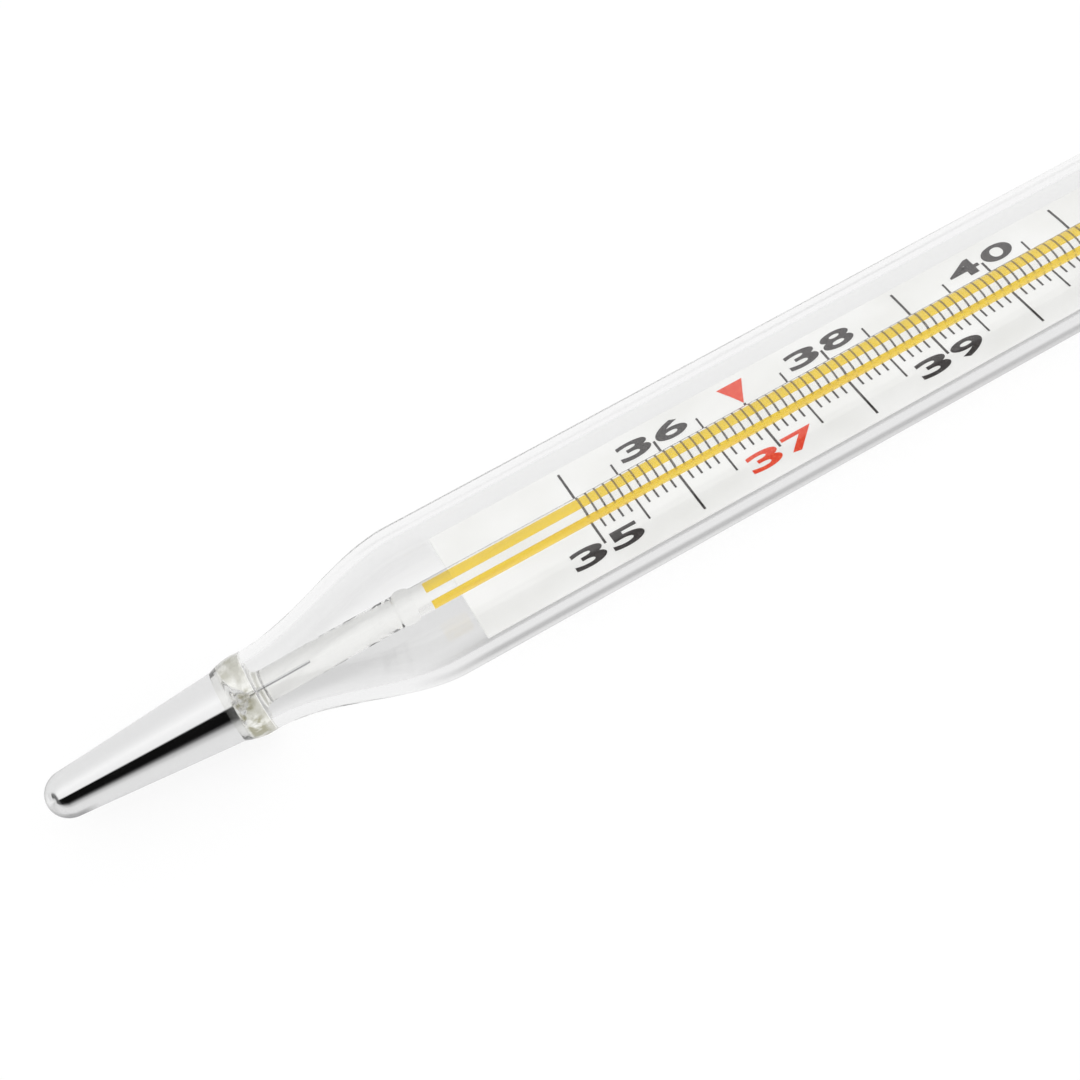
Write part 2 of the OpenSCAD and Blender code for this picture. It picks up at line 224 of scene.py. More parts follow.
class THERMOMETER_PG_stage(bpy.types.PropertyGroup):
    """The studio: camera, floor and light."""
    camera_place: FloatVectorProperty(
        name="Camera place", description="Where the camera stands", subtype="TRANSLATION", size=3,
        default=(-34.52 * MM, -46.07 * MM, 77.74 * MM), precision=5)
    camera_turn: FloatVectorProperty(
        name="Camera turn", description="How the camera is turned", subtype="EULER", size=3,
        default=[math.radians(a) for a in (31.488, 8.497, -28.564)])
    focal: FloatProperty(name="Focal length", description="Lens, for a 36 mm sensor", default=46.67, min=10)
    floor: length("Floor", "Side of the square floor", 4000)
    floor_glow: FloatProperty(
        name="Floor glow", description="Share of the floor's white that no shadow takes away", default=0.85,
        min=0, max=1)
    sky: FloatProperty(name="Sky", description="Light from all round", default=1.0, min=0)
    overhead: FloatProperty(name="Overhead", description="Light of the soft box overhead", default=1.35, min=0)


def axis_point(station, radius=0.0):
    """A point at a distance in metres from the bulb's tip, and at a radius in front of the axis."""
    return Vector((TIP_X + station, -radius, AXIS_Z))


def arc(centre, radius, start, end, count):
    """Points (station, radius) along an arc, whose angles in degrees run from the axis's direction outwards."""
    turns = [math.radians(start + (end - start) * i / count) for i in range(count + 1)]
    return [(centre[0] + radius * math.cos(t), centre[1] + radius * math.sin(t)) for t in turns]


def bulge(start, end, foot, rise):
    """Points along the shallow arc that rises over a chord between two stations at a radius."""
    chord = end - start
    big = (chord * chord / 4 + rise * rise) / (2 * rise)
    half = math.asin(chord / 2 / big)
    steps = [-half + 2 * half * i / BULGE_POINTS for i in range(BULGE_POINTS + 1)]
    return [((start + end) / 2 + big * math.sin(t), foot + rise - big + big * math.cos(t)) for t in steps]


def finish_mesh(bm, name, finish, sharp=40, joints=()):
    """Closes up a mesh, turns its faces outwards and makes it an object, whose fused joints show no surface.

    A joint is a station with the radii between which the end face there is fused to the next piece.
    """
    bmesh.ops.remove_doubles(bm, verts=bm.verts, dist=MERGE)
    bmesh.ops.recalc_face_normals(bm, faces=bm.faces)
    for face in bm.faces:
        middle = face.calc_center_median()
        radius = math.hypot(middle.y, middle.z - AXIS_Z)
        for station, low, high in joints:
            if abs(middle.x - TIP_X - station) < NEAR and low <= radius < high:
                face.material_index = 1
    mesh = bpy.data.meshes.new(name)
    bm.to_mesh(mesh)
    bm.free()
    mesh.shade_smooth()
    mesh.set_sharp_from_angle(angle=math.radians(sharp))
    mesh.materials.append(finish)
    if joints:
        mesh.materials.append(finish_named("joint"))
    piece = bpy.data.objects.new(name, mesh)
    bpy.context.scene.collection.objects.link(piece)
    return piece


def spun(name, points, finish, sides, closed=False, joints=()):
    """Spins a profile of (station, radius) points round the stem's axis."""
    bm = bmesh.new()
    verts = [bm.verts.new(axis_point(*p)) for p in points]
    pairs = list(zip(verts, verts[1:])) + ([(verts[-1], verts[0])] if closed else [])
    edges = [bm.edges.new(pair) for pair in pairs]
    bmesh.ops.spin(
        bm, geom=verts + edges, cent=axis_point(0), axis=(1, 0, 0), angle=math.tau, steps=sides, use_merge=True)
    return finish_mesh(bm, name, finish, joints=joints)


def ground_bar(name, low, high, edge, segments, finish):
    """A bar between two corners, whose edges are ground or rounded."""
    bm = bmesh.new()
    bmesh.ops.create_cube(bm, size=1)
    bmesh.ops.scale(bm, verts=bm.verts, vec=high - low)
    bmesh.ops.translate(bm, verts=bm.verts, vec=(low + high) / 2)
    bmesh.ops.bevel(
        bm, geom=bm.edges[:], affect="EDGES", offset=edge, segments=segments, profile=0.5, material=-1)
    return finish_mesh(bm, name, finish)


def clear_way(piece):
    """Lets the light that falls on the scale pass a clear piece, as it does through real clear glass."""
    piece.visible_diffuse = False
    piece.visible_shadow = False


def seat(piece, slot, *nodes, body=STATIC):
    """Gives a finished piece its body and hides the frame's nodes that it stands for; the slot is not used."""
    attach(piece, body)
    if nodes:
        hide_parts(*nodes)
    return piece


def add_node(tree, kind, inputs=None, **settings):
    """Adds a node with its settings, and gives each named input a value or a link."""
    made = tree.nodes.new(kind)
    for name, value in settings.items():
        setattr(made, name, value)
    for name, value in (inputs or {}).items():
        if isinstance(value, bpy.types.NodeSocket):
            tree.links.new(value, made.inputs[name])
        else:
            made.inputs[name].default_value = value
    return made


def new_finish(name):
    """An empty material and its tree."""
    finish = bpy.data.materials.new(name)
    finish.use_nodes = True
    finish.node_tree.nodes.clear()
    return finish, finish.node_tree


def grain(tree, size_mm, detail=2.0):
    """Noise whose features have a real size in millimetres along X, Y and Z."""
    place = add_node(tree, "ShaderNodeTexCoord")
    mapped = add_node(tree, "ShaderNodeMapping", {
        "Vector": place.outputs["Object"], "Scale": [1 / (s * MM) for s in size_mm]})
    return add_node(tree, "ShaderNodeTexNoise", {
        "Vector": mapped.outputs["Vector"], "Scale": 1.0, "Detail": detail, "Roughness": 0.5}).outputs["Fac"]


def across_mm(tree, axis="Y"):
    """How far across the stem a point lies, or how far along it, in millimetres."""
    place = add_node(tree, "ShaderNodeSeparateXYZ", {
        "Vector": add_node(tree, "ShaderNodeTexCoord").outputs["Object"]})
    return add_node(tree, "ShaderNodeMath", {0: place.outputs[axis], 1: 1 / MM}, operation="MULTIPLY").outputs[0]


def blended(tree, amount, low, high, start=0.35, end=0.65):
    """A colour that runs from low to high as the amount goes from start to end."""
    share = add_node(tree, "ShaderNodeMapRange", {
        "Value": amount, "From Min": start, "From Max": end, "To Min": 0.0, "To Max": 1.0})
    return add_node(tree, "ShaderNodeMix", {
        0: share.outputs["Result"], 6: (*low, 1), 7: (*high, 1)}, data_type="RGBA").outputs[2]


def levels(tree, value, points):
    """The level that runs in straight steps through points of (value, level)."""
    low, high = points[0][0], points[-1][0]
    share = add_node(tree, "ShaderNodeMapRange", {
        "Value": value, "From Min": low, "From Max": high, "To Min": 0.0, "To Max": 1.0})
    made = add_node(tree, "ShaderNodeValToRGB", {"Fac": share.outputs["Result"]})
    stops = made.color_ramp.elements
    while len(stops) < len(points):
        stops.new(0.5)
    for stop, (place, level) in zip(stops, points):
        stop.position = (place - low) / (high - low)
        stop.color = (level, level, level, 1)
    return made.outputs["Color"]


def picked(tree, amount, low, high):
    """A number that goes from low to high with the amount."""
    return add_node(tree, "ShaderNodeMix", {0: amount, 2: low, 3: high}, data_type="FLOAT").outputs[0]


def surfaced(tree, shader, height=None, depth_mm=0.01, strength=0.3):
    """Joins a shader to the output, with a bump of a real depth where a height is given."""
    if height is not None:
        bump = add_node(tree, "ShaderNodeBump", {"Height": height, "Distance": depth_mm * MM, "Strength": strength})
        tree.links.new(bump.outputs["Normal"], shader.inputs["Normal"])
    add_node(tree, "ShaderNodeOutputMaterial", {"Surface": shader.outputs["BSDF"]})


def drawn_glass(name, colour, lines_mm, ripple):
    """Soda-lime tube, drawn hot and fire polished: clear, smooth, with faint lines along the draw."""
    finish, tree = new_finish(name)
    shader = add_node(tree, "ShaderNodeBsdfPrincipled", {
        "Base Color": (*colour, 1), "Roughness": 0.0, "IOR": GLASS_IOR, "Transmission Weight": 1.0})
    surfaced(tree, shader, grain(tree, lines_mm, detail=1.0), depth_mm=0.02, strength=ripple)
    return finish


def fused_glass(clear, olive):
    """Glass melted together in a flame: wavy, with cloudy olive smears, dense on the near side, almost clear in a band
    above that, and thinner on the far side.
    """
    finish, tree = new_finish("flame_fused_glass")
    smeared = add_node(tree, "ShaderNodeMapRange", {
        "Value": grain(tree, (0.7, 0.6, 0.6), detail=3.0), "From Min": 0.6, "From Max": 0.42,
        "To Min": 0.15, "To Max": 1.0})
    spread = add_node(tree, "ShaderNodeMath", {
        0: levels(tree, across_mm(tree), NECK_CLOUD), 1: levels(tree, across_mm(tree, "X"), NECK_SPAN)},
        operation="MULTIPLY").outputs[0]
    cloud = add_node(tree, "ShaderNodeMath", {
        0: smeared.outputs["Result"], 1: spread}, operation="MULTIPLY").outputs[0]
    shader = add_node(tree, "ShaderNodeBsdfPrincipled", {
        "Base Color": blended(tree, cloud, clear, olive, 0.0, 1.0), "IOR": GLASS_IOR,
        "Roughness": picked(tree, cloud, 0.04, 0.16), "Transmission Weight": picked(tree, cloud, 0.96, 0.6)})
    surfaced(tree, shader, grain(tree, (0.6, 0.8, 0.8), detail=1.0), depth_mm=0.06, strength=0.4)
    return finish


def fused_joint():
    """Where two glasses are melted into one: no surface is left, so nothing is seen there."""
    finish, tree = new_finish("fused_joint")
    clear = add_node(tree, "ShaderNodeBsdfTransparent")
    add_node(tree, "ShaderNodeOutputMaterial", {"Surface": clear.outputs["BSDF"]})
    return finish


def enamel_glass(light, deep):
    """Yellow enamel glass fused into the rod: no shine of its own, streaked along the draw, and not quite opaque."""
    finish, tree = new_finish("yellow_enamel_glass")
    colour = blended(tree, grain(tree, (6.0, 0.12, 0.12)), deep, light, 0.3, 0.55)
    solid = add_node(tree, "ShaderNodeBsdfPrincipled", {"Base Color": colour, "Roughness": 0.5, "IOR": 1.0})
    once = [math.sqrt(c) for c in light]
    thin = add_node(tree, "ShaderNodeBsdfTransparent", {"Color": (*once, 1)})
    clear = levels(tree, across_mm(tree), STRIPE_CLEAR)
    both = add_node(tree, "ShaderNodeMixShader", {0: clear, 1: solid.outputs["BSDF"], 2: thin.outputs["BSDF"]})
    add_node(tree, "ShaderNodeOutputMaterial", {"Surface": both.outputs["Shader"]})
    return finish


def opal_glass(plain, cloud):
    """White opal plate: dense, satin, with clouds a few millimetres wide."""
    finish, tree = new_finish("opal_milk_glass")
    colour = blended(tree, grain(tree, (5.0, 3.0, 3.0), detail=3.0), cloud, plain)
    shader = add_node(tree, "ShaderNodeBsdfPrincipled", {"Base Color": colour, "Roughness": 0.4, "IOR": 1.5})
    surfaced(tree, shader, grain(tree, (0.15, 0.15, 0.15)), depth_mm=0.003, strength=0.2)
    return finish


def fired_ink(name, full, thin):
    """Ceramic ink, printed and fired: dense, a little uneven where the print is thin."""
    finish, tree = new_finish(name)
    colour = blended(tree, grain(tree, (0.12, 0.12, 0.12), detail=3.0), thin, full, 0.35, 0.5)
    shader = add_node(tree, "ShaderNodeBsdfPrincipled", {"Base Color": colour, "Roughness": 0.45, "IOR": 1.5})
    surfaced(tree, shader)
    return finish


def liquid_mercury(colour):
    """Mercury under glass: a liquid mirror, dulled a little where it clings to the wall."""
    finish, tree = new_finish("liquid_mercury")
    cling = add_node(tree, "ShaderNodeMapRange", {
        "Value": grain(tree, (2.5, 0.8, 0.8)), "From Min": 0.45, "From Max": 0.7,
        "To Min": 0.02, "To Max": 0.07})
    shader = add_node(tree, "ShaderNodeBsdfPrincipled", {
        "Base Color": (*colour, 1), "Metallic": 1.0, "Roughness": cling.outputs["Result"]})
    surfaced(tree, shader)
    return finish


FINISHES = {}


def finish_named(name):
    """The material of a finish, made the first time that a piece asks for it."""
    c = bpy.context.scene.thermometer_colours
    makers = {
        "sheath_glass": lambda: drawn_glass("drawn_soda_lime_glass", c.stem_glass, (40, 0.9, 0.9), 0.05),
        "bulb_glass": lambda: drawn_glass("thermometric_glass", c.bulb_glass, (5, 1.5, 1.5), 0.03),
        "fused_glass": lambda: fused_glass(c.neck_clear, c.neck_olive),
        "joint": fused_joint,
        "capillary_glass": lambda: drawn_glass("drawn_capillary_glass", c.rod_glass, (30, 0.7, 0.7), 0.03),
        "yellow_glass": lambda: enamel_glass(c.yellow, c.yellow_deep),
        "milk_glass": lambda: opal_glass(c.plate, c.plate_cloud),
        "black_enamel": lambda: fired_ink("fired_black_ink", c.black_ink, c.black_ink_thin),
        "red_enamel": lambda: fired_ink("fired_red_ink", c.red_ink, c.red_ink_thin),
        "mercury": lambda: liquid_mercury(c.mercury),
    }
    if name not in FINISHES:
        FINISHES[name] = makers[name]()
    return FINISHES[name]


def smooth(t):
    """Eases from 0 to 1 with level ends."""
    return t * t * (3 - 2 * t)


def sheath_rings(g, foot_wall, side_wall, flat_wall, dome_length):
    """Rings (station, half width, half height, squareness) from the neck to the sealed end."""
    start = SHEATH_LOW.x - TIP_X
    dome_start = SHEATH_HIGH.x - TIP_X - g.dome
    neck_r = NECK_HIGH.y
    half_w, half_h = SHEATH_HIGH.y, g.full_height / 2
    rings = []
    for i in range(g.rings + 1):
        s = smooth(i / g.rings)
        rings.append((
            start + i / g.rings * g.shoulder,
            neck_r - foot_wall + (half_w - side_wall - neck_r + foot_wall) * s,
            neck_r - foot_wall + (half_h - flat_wall - neck_r + foot_wall) * s,
            2 + (g.squareness - 2) * s,
        ))
    for i in range(g.rings):
        turn = math.pi / 2 * i / g.rings
        taper = math.cos(turn)
        rings.append((
            dome_start + dome_length * math.sin(turn),
            (half_w - side_wall) * taper,
            (half_h - flat_wall) * taper,
            g.squareness,
        ))
    return rings


def on_oval(ring, share):
    """A point at a share of the way round a ring, no lower than the flat back."""
    station, half_w, half_h, squareness = ring
    c, s = math.cos(share * math.tau), math.sin(share * math.tau)
    y = half_w * math.copysign(abs(c) ** (2 / squareness), c)
    z = AXIS_Z + half_h * math.copysign(abs(s) ** (2 / squareness), s)
    return Vector((TIP_X + station, y, max(z, 0.0)))


def only(kind, made):
    """Those of a list of new elements that are of one kind."""
    return [element for element in made if isinstance(element, kind)]


def place_ring(verts, turn, ring, sides):
    """Puts the vertices of a ring on its oval, each at its own turn."""
    for vert in verts:
        vert.co = on_oval(ring, vert[turn] / sides)


def extrude_through(bm, edges, turn, rings, sides, tip):
    """Extrudes a loop of edges through rings, one after the other, and closes it to a point."""
    for ring in rings:
        made = bmesh.ops.extrude_edge_only(bm, edges=edges)["geom"]
        verts = only(bmesh.types.BMVert, made)
        place_ring(verts, turn, ring, sides)
        loop = set(verts)
        edges = [e for e in only(bmesh.types.BMEdge, made) if all(v in loop for v in e.verts)]
    made = bmesh.ops.extrude_edge_only(bm, edges=edges)["geom"]
    bmesh.ops.pointmerge(bm, verts=only(bmesh.types.BMVert, made), merge_co=tip)


class THERMOMETER_OT_sheath(bpy.types.Operator):
    """Lofts the flat-oval glass sheath, its wall and its sealed end"""
    bl_idname = "thermometer.sheath"
    bl_label = "Glass sheath"

    def execute(self, context):
        g = context.scene.thermometer_glass
        bm = bmesh.new()
        turn = bm.verts.layers.int.new("turn")
        verts = bmesh.ops.create_circle(bm, segments=g.sides, radius=1)["verts"]
        for k, vert in enumerate(verts):
            vert[turn] = k
        outside = sheath_rings(g, 0, 0, 0, g.dome)
        inside = sheath_rings(g, g.neck_wall, g.wall, g.flat_wall, g.dome - g.dome_wall)
        place_ring(verts, turn, outside[0], g.sides)
        foot = list(bm.edges)
        tip = Vector((SHEATH_HIGH.x, 0, AXIS_Z))
        extrude_through(bm, foot, turn, outside[1:], g.sides, tip)
        extrude_through(bm, foot, turn, inside, g.sides, tip - Vector((g.dome_wall, 0, 0)))
        joint = (SHEATH_LOW.x - TIP_X, 0, NECK_HIGH.y)
        sheath = finish_mesh(bm, "sheath", finish_named("sheath_glass"), joints=[joint])
        seat(sheath, "sheath_glass", "glass_sheath")
        clear_way(sheath)
        return {"FINISHED"}


def bulb_outline(g, wall, tip_wall, end):
    """Profile of the bulb, inset by a wall, from its tip on the axis to a station."""
    tip_r = g.bulb_tip_diameter / 2 - wall
    end_r = g.bulb_diameter / 2 - wall
    tip_at = tip_wall + tip_r
    bulb_l = BULB_HIGH.x - TIP_X
    lean = math.degrees(math.atan((end_r - tip_r) / (bulb_l - tip_at)))
    points = arc((tip_at, 0), tip_r, 180, 90 + lean, TIP_POINTS)
    join = points[-1]
    share = (end - join[0]) / (bulb_l - join[0])
    return points + [(end, join[1] + (end_r - join[1]) * share)]


class THERMOMETER_OT_bulb(bpy.types.Operator):
    """Spins the thin glass bulb and the mercury that fills it"""
    bl_idname = "thermometer.bulb"
    bl_label = "Bulb and its mercury"

    def execute(self, context):
        g = context.scene.thermometer_glass
        m = context.scene.thermometer_mercury
        end = BULB_HIGH.x - TIP_X
        room = bulb_outline(g, g.bulb_wall, g.bulb_tip_wall, end)
        wall = bulb_outline(g, 0, 0, end) + room[::-1]
        glass = spun("bulb", wall, finish_named("bulb_glass"), g.sides, joints=[(end, 0, BULB_HIGH.y)])
        seat(glass, "bulb_glass", "bulb_glass")
        filling = bulb_outline(g, g.bulb_wall - m.wetting, g.bulb_tip_wall - m.wetting, end)
        filling += [(x, r + m.wetting) for x, r in neck_room(g, m)] + [(NECK_HIGH.x - TIP_X, 0)]
        mercury = spun("mercury_filling", filling, finish_named("mercury"), g.sides)
        seat(mercury, "mercury", "bulb_mercury")
        return {"FINISHED"}


def neck_room(g, m):
    """Profile of the room inside the neck, from the bulb's wall to the bore."""
    start, end = NECK_LOW.x - TIP_X, NECK_HIGH.x - TIP_X
    turn = start + m.reach
    return [
        (turn, g.bulb_diameter / 2 - g.bulb_wall),
        (turn + m.closing, m.mouth_diameter / 2),
        (turn + m.closing + m.funnel, m.thread_diameter / 2),
        (end, m.thread_diameter / 2),
    ]


class THERMOMETER_OT_neck(bpy.types.Operator):
    """Spins the fused neck, with the funnel that leads into the bore"""
    bl_idname = "thermometer.neck"
    bl_label = "Fused neck"

    def execute(self, context):
        g = context.scene.thermometer_glass
        m = context.scene.thermometer_mercury
        start, end = NECK_LOW.x - TIP_X, NECK_HIGH.x - TIP_X
        foot_r, top_r = g.bulb_diameter / 2, NECK_HIGH.y
        lift = bulge(start, end, 0, g.bead)
        outside = [(x, foot_r + (top_r - foot_r) * (x - start) / (end - start) + r) for x, r in lift]
        capillary_r = TUBE_HIGH.y + g.foot_flare
        outside += [(end, top_r - g.neck_wall), (end, capillary_r)]
        inside = neck_room(g, m)[::-1] + [(start, foot_r - g.bulb_wall)]
        joints = [(start, 0, foot_r), (end, top_r - g.neck_wall, top_r), (end, 0, capillary_r)]
        seal = spun("neck", outside + inside, finish_named("fused_glass"), g.sides, closed=True, joints=joints)
        seat(seal, "fused_glass", "neck_seal")
        return {"FINISHED"}


class THERMOMETER_OT_capillaries(bpy.types.Operator):
    """Spins the lower capillary and draws out the flat-oval one beside the scale"""
    bl_idname = "thermometer.capillaries"
    bl_label = "Capillaries"

    def execute(self, context):
        g = context.scene.thermometer_glass
        start, end = LOWER_LOW.x - TIP_X, LOWER_HIGH.x - TIP_X
        rod_r = TUBE_HIGH.y
        flare = g.foot_flare
        foot = arc((start + flare, rod_r + flare), flare, 180, 270, ROUND_POINTS)
        weld = bulge(end - g.weld_length, end, rod_r, g.weld_diameter / 2 - rod_r)
        points = [(start, 0)] + foot + weld + [(end, 0)]
        joints = [(start, 0, rod_r + flare), (end, 0, rod_r)]
        lower = spun("clear_capillary", points, finish_named("capillary_glass"), g.sides, joints=joints)
        seat(lower, "capillary_glass", "lower_capillary")
        bm = bmesh.new()
        section = bmesh.ops.create_circle(bm, cap_ends=True, segments=g.sides, radius=1)["verts"]
        half_h = (TUBE_HIGH.z - TUBE_LOW.z) / 2
        for k, vert in enumerate(section):
            turn = k / g.sides * math.tau
            vert.co = (TUBE_LOW.x, rod_r * math.cos(turn), AXIS_Z + half_h * math.sin(turn))
        drawn = bmesh.ops.extrude_face_region(bm, geom=bm.faces[:])["geom"]
        bmesh.ops.translate(bm, verts=only(bmesh.types.BMVert, drawn), vec=(TUBE_HIGH.x - TUBE_LOW.x, 0, 0))
        upper = finish_mesh(bm, "scale_capillary", finish_named("capillary_glass"), joints=[(end, 0, rod_r)])
        seat(upper, "capillary_glass", "capillary_tube")
        clear_way(lower)
        clear_way(upper)
        return {"FINISHED"}


class THERMOMETER_OT_thread(bpy.types.Operator):
    """Spins the thread of mercury, and its rounded top, which rides on the body of the mercury's top"""
    bl_idname = "thermometer.thread"
    bl_label = "Mercury thread"

    def execute(self, context):
        g = context.scene.thermometer_glass
        r = context.scene.thermometer_mercury.thread_diameter / 2
        start, end = THREAD_LOW.x - TIP_X, THREAD_HIGH.x - TIP_X
        thread = spun("thread", [(start, 0), (start, r), (end, r), (end, 0)], finish_named("mercury"), g.sides)
        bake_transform(thread)
        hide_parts("mercury_thread")
        base, top = TOP_LOW.x - TIP_X, TOP_HIGH.x - TIP_X
        cap = [(base, 0), (base, r)] + arc((top - r, 0), r, 90, 0, ROUND_POINTS)
        meniscus = spun("meniscus", cap, finish_named("mercury"), g.sides)
        seat(meniscus, "mercury", "mercury_meniscus", body=MOVING)
        return {"FINISHED"}


class THERMOMETER_OT_plate(bpy.types.Operator):
    """Makes the white plate with its ground edges, and the glass rod that stops it"""
    bl_idname = "thermometer.plate"
    bl_label = "Scale plate and stop"

    def execute(self, context):
        g = context.scene.thermometer_glass
        plate = ground_bar("plate", PLATE_LOW, PLATE_HIGH, g.plate_bevel, 3, finish_named("milk_glass"))
        seat(plate, "milk_glass", "scale_plate")
        middle = (STOP_LOW + STOP_HIGH) / 2
        half, r = (STOP_HIGH.y - STOP_LOW.y) / 2, (STOP_HIGH.z - STOP_LOW.z) / 2
        outline = arc((-half + r, 0), r, 180, 90, ROUND_POINTS) + arc((half - r, 0), r, 90, 0, ROUND_POINTS)
        bm = bmesh.new()
        verts = [bm.verts.new((middle.x + radius, middle.y + along, middle.z)) for along, radius in outline]
        edges = [bm.edges.new(pair) for pair in zip(verts, verts[1:])]
        bmesh.ops.spin(
            bm, geom=verts + edges, cent=middle, axis=(0, 1, 0), angle=math.tau, steps=ROD_SIDES, use_merge=True)
        rod = finish_mesh(bm, "stop_rod", finish_named("sheath_glass"))
        seat(rod, "sheath_glass", "plate_stop")
        return {"FINISHED"}


class THERMOMETER_OT_print(bpy.types.Operator):
    """Gives the printed lines, the arrow and the glass pin their finishes"""
    bl_idname = "thermometer.print"
    bl_label = "Print and pin"

    def execute(self, context):
        worn = {
            "degree_lines": "black_enamel", "half_degree_lines": "black_enamel", "tenth_lines": "black_enamel",
            "fever_arrow": "red_enamel", "constriction_pin": "bulb_glass",
        }
        for node, name in worn.items():
            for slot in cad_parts[node].material_slots:
                slot.material = finish_named(name)
        return {"FINISHED"}


class THERMOMETER_OT_stripes(bpy.types.Operator):
    """Lays the two yellow stripes into the back of the capillary"""
    bl_idname = "thermometer.stripes"
    bl_label = "Yellow stripes"

    def execute(self, context):
        g = context.scene.thermometer_glass
        for node in ("yellow_stripe_left", "yellow_stripe_right"):
            low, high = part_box(node)
            if high.y < 0:
                # The near stripe is broader, and thinner too, so that it stays inside the rod.
                low, high = low - Vector((0, g.stripe_extra, 0)), high + Vector((0, g.stripe_extra, 0))
                low.z = (low.z + high.z) / 2
            name = node.replace("yellow_stripe", "yellow_line")
            stripe = ground_bar(name, low, high, g.stripe_edge, 2, finish_named("yellow_glass"))
            seat(stripe, "yellow_glass", node)
            # The stripes are thin: they neither shade the plate nor show in the walls of the clear glass.
            clear_way(stripe)
            stripe.visible_glossy = False
        return {"FINISHED"}


def digit_mesh(digit, s):
    """A digit as a flat solid mesh, centred on the origin and scaled to its height and width."""
    text = bpy.data.curves.new("digit", "FONT")
    text.body = digit
    text.offset = s.digit_weight
    text.extrude = 0.5  # any thickness will do, because the mesh is scaled to its size below
    holder = bpy.data.objects.new("digit", text)
    bpy.context.scene.collection.objects.link(holder)
    bpy.context.view_layer.update()
    mesh = bpy.data.meshes.new_from_object(holder.evaluated_get(bpy.context.evaluated_depsgraph_get()))
    bpy.data.objects.remove(holder)
    bpy.data.curves.remove(text)
    low = Vector([min(v.co[i] for v in mesh.vertices) for i in range(3)])
    high = Vector([max(v.co[i] for v in mesh.vertices) for i in range(3)])
    mesh.transform(Matrix.Translation(-(low + high) / 2))
    size = high - low
    width = s.one_width if digit == "1" else s.digit_width
    scale = (width / size.x, s.digit_height / size.y, s.ink / size.z)
    mesh.transform(Matrix.Diagonal((*scale, 1)))
    return mesh


class THERMOMETER_OT_numerals(bpy.types.Operator):
    """Prints the plain numerals of the degrees on alternate sides of the scale"""
    bl_idname = "thermometer.numerals"
    bl_label = "Numerals"

    def execute(self, context):
        s = context.scene.thermometer_scale
        first_x = LINES_LOW.x + (LINES_HIGH.x - LINES_LOW.x - (s.highest - s.lowest) * s.pitch) / 2
        for degree in range(s.lowest, s.highest + 1):
            side = -1 if (degree - s.lowest) % 2 == 0 else 1
            line_x = first_x + (degree - s.lowest) * s.pitch
            bm = bmesh.new()
            for digit, way in zip(str(degree), (-1, 1)):
                mesh = digit_mesh(digit, s)
                mesh.transform(Matrix.Translation((
                    line_x + way * s.digit_spread, side * s.digit_offset, PLATE_HIGH.z + s.ink / 2)))
                bm.from_mesh(mesh)
                bpy.data.meshes.remove(mesh)
            slot = "red_enamel" if degree == s.fever else "black_enamel"
            numeral = finish_mesh(bm, f"numeral_{degree}", finish_named(slot), sharp=30)
            seat(numeral, slot)
        return {"FINISHED"}


def seen_in_glass(tree, rays):
    """1 for the rays that a mirror or a glass surface sends on."""
    return add_node(tree, "ShaderNodeMath", {
        0: rays.outputs["Is Glossy Ray"], 1: rays.outputs["Is Transmission Ray"]}, operation="MAXIMUM").outputs[0]


def light_sky(scene, p):
    """A white room with a soft box overhead that lights the scene, and a painted reflection of a darker studio that
    only mirrors and glass show.
    """
    world = bpy.data.worlds.new("studio")
    scene.world = world
    world.use_nodes = True
    tree = world.node_tree
    tree.nodes.clear()
    rays = add_node(tree, "ShaderNodeLightPath")
    way = add_node(tree, "ShaderNodeSeparateXYZ", {
        "Vector": add_node(tree, "ShaderNodeTexCoord").outputs["Generated"]})
    forward = add_node(tree, "ShaderNodeMath", {0: way.outputs["Y"], 1: -1.0}, operation="MULTIPLY")
    rise = add_node(tree, "ShaderNodeMath", {0: way.outputs["Z"], 1: forward.outputs[0]}, operation="ARCTAN2")
    angle = add_node(tree, "ShaderNodeMath", {0: rise.outputs[0]}, operation="DEGREES").outputs[0]
    aside = add_node(tree, "ShaderNodeMapRange", {
        "Value": add_node(tree, "ShaderNodeMath", {0: way.outputs["X"]}, operation="ABSOLUTE").outputs[0],
        "From Min": SIDES_START, "From Max": SIDES_END, "To Min": 0.0, "To Max": 1.0},
        interpolation_type="SMOOTHSTEP")
    # Mirrors and glass see the painted reflection; all other rays see the lit room.
    mirrored = picked(
        tree, aside.outputs["Result"], levels(tree, angle, SKY_PAINTED_REFLECTION), levels(tree, way.outputs["X"], SIDES_PAINTED_REFLECTION))
    lit = levels(tree, angle, (
        (-180, p.sky), (BOX_NEAR[0], p.sky), (BOX_NEAR[1], p.overhead),
        (BOX_FAR[0], p.overhead), (BOX_FAR[1], p.sky), (180, p.sky)))
    level = picked(tree, seen_in_glass(tree, rays), lit, mirrored)
    level = picked(tree, rays.outputs["Is Camera Ray"], level, 1.0)
    glow = add_node(tree, "ShaderNodeBackground", {"Strength": level, "Color": (1, 1, 1, 1)})
    add_node(tree, "ShaderNodeOutputWorld", {"Surface": glow.outputs["Background"]})


